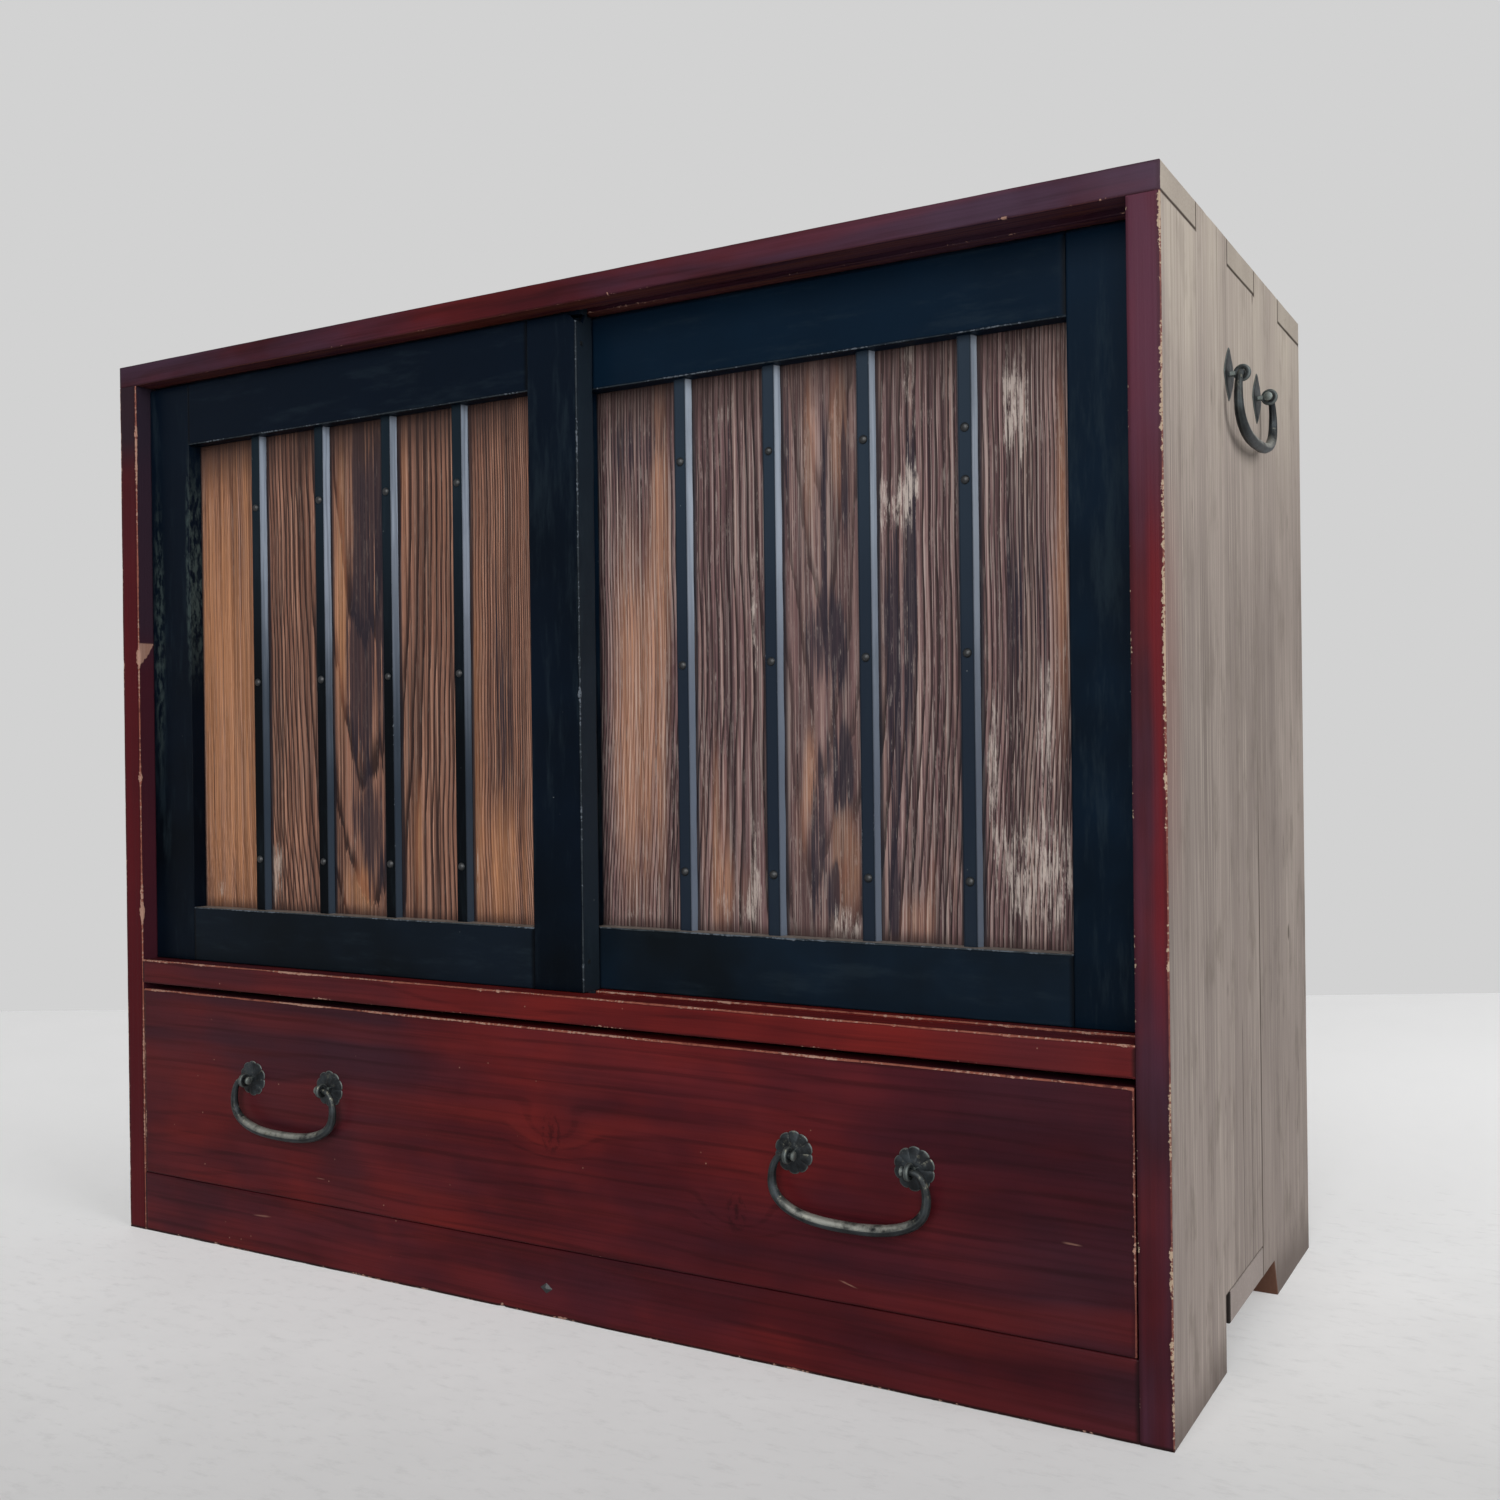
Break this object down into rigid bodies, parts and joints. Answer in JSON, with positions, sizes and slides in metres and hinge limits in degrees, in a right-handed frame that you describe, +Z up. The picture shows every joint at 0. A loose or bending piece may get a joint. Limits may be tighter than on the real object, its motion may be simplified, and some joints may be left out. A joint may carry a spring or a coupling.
{
  "type": "clothing chest",
  "caption": "Low finger-jointed wooden clothing chest with sliding barred doors over one wide drawer, lacquered front and forged bail handles.",
  "frame": {"origin": "on the floor, under the middle of the chest with its handles", "axes": "+Z up; +X to the right along the front; the doors and drawer face -Y"},
  "size_m": [0.94, 0.43, 0.75],
  "materials": {
    "red_lacquer": "worn dark red lacquer on wood",
    "black_lacquer": "worn blue-black lacquer on wood",
    "panel_wood": "brown flat-sawn softwood with bold grain, thin worn finish",
    "bleached_wood": "bare weathered wood, greyed; the front edges are lacquered dark red",
    "raw_wood": "bare planed softwood, browned with age",
    "iron": "forged iron, blackened and rubbed"
  },
  "bodies": {
    "case": {"top_board": "bleached_wood", "left_side_front_board": "bleached_wood", "left_side_rear_board": "bleached_wood", "right_side_front_board": "bleached_wood", "right_side_rear_board": "bleached_wood", "bottom_board": "raw_wood", "apron": "red_lacquer", "apron_nail": "iron", "sill_rail": "red_lacquer", "cupboard_floor": "raw_wood", "floor_cleats": "raw_wood", "back_board_1": "raw_wood", "back_board_2": "raw_wood", "back_board_3": "raw_wood", "back_board_4": "raw_wood", "back_board_5": "raw_wood", "back_pegs": "raw_wood", "top_pegs": "raw_wood", "drawer_stops": "raw_wood", "left_side_handle_plates": "iron", "left_side_handle_pins": "iron", "right_side_handle_plates": "iron", "right_side_handle_pins": "iron"},
    "left_door": {"left_door_left_stile": "black_lacquer", "left_door_right_stile": "black_lacquer", "left_door_top_rail": "black_lacquer", "left_door_bottom_rail": "black_lacquer", "left_door_panel": "panel_wood", "left_door_bar_1": "black_lacquer", "left_door_bar_2": "black_lacquer", "left_door_bar_3": "black_lacquer", "left_door_bar_4": "black_lacquer", "left_door_bar_nails": "iron", "left_door_tenon_nails": "iron"},
    "right_door": {"right_door_left_stile": "black_lacquer", "right_door_right_stile": "black_lacquer", "right_door_top_rail": "black_lacquer", "right_door_bottom_rail": "black_lacquer", "right_door_panel": "panel_wood", "right_door_bar_1": "black_lacquer", "right_door_bar_2": "black_lacquer", "right_door_bar_3": "black_lacquer", "right_door_bar_4": "black_lacquer", "right_door_bar_nails": "iron", "right_door_tenon_nails": "iron"},
    "drawer": {"drawer_front": "red_lacquer", "drawer_left_side": "raw_wood", "drawer_right_side": "raw_wood", "drawer_back": "raw_wood", "drawer_floor": "raw_wood", "drawer_pegs": "raw_wood", "drawer_handle_washers": "iron", "drawer_handle_pins": "iron"},
    "drawer_left_bail": {"drawer_left_bail": "iron"},
    "drawer_right_bail": {"drawer_right_bail": "iron"},
    "left_side_bail": {"left_side_bail": "iron"},
    "right_side_bail": {"right_side_bail": "iron"}
  },
  "joints": [
    {"name": "left_door_slide", "type": "slide", "parent": "case", "child": "left_door", "axis": [1, 0, 0], "range_m": [0, 0.407]},
    {"name": "right_door_slide", "type": "slide", "parent": "case", "child": "right_door", "axis": [1, 0, 0], "range_m": [-0.407, 0]},
    {"name": "drawer_slide", "type": "slide", "parent": "case", "child": "drawer", "axis": [0, -1, 0], "range_m": [0, 0.3]},
    {"name": "drawer_left_bail_swing", "type": "hinge", "parent": "drawer", "child": "drawer_left_bail", "pos_m": [-0.257, -0.2092, 0.1445], "axis": [-1, 0, 0], "range_deg": [-4, 160]},
    {"name": "drawer_right_bail_swing", "type": "hinge", "parent": "drawer", "child": "drawer_right_bail", "pos_m": [0.2495, -0.2092, 0.1445], "axis": [-1, 0, 0], "range_deg": [-4, 160]},
    {"name": "left_side_bail_swing", "type": "hinge", "parent": "case", "child": "left_side_bail", "pos_m": [-0.4642, 0.0095, 0.6585], "axis": [0, 1, 0], "range_deg": [-4, 160]},
    {"name": "right_side_bail_swing", "type": "hinge", "parent": "case", "child": "right_side_bail", "pos_m": [0.4642, 0.0095, 0.6585], "axis": [0, -1, 0], "range_deg": [-4, 160]}
  ]
}
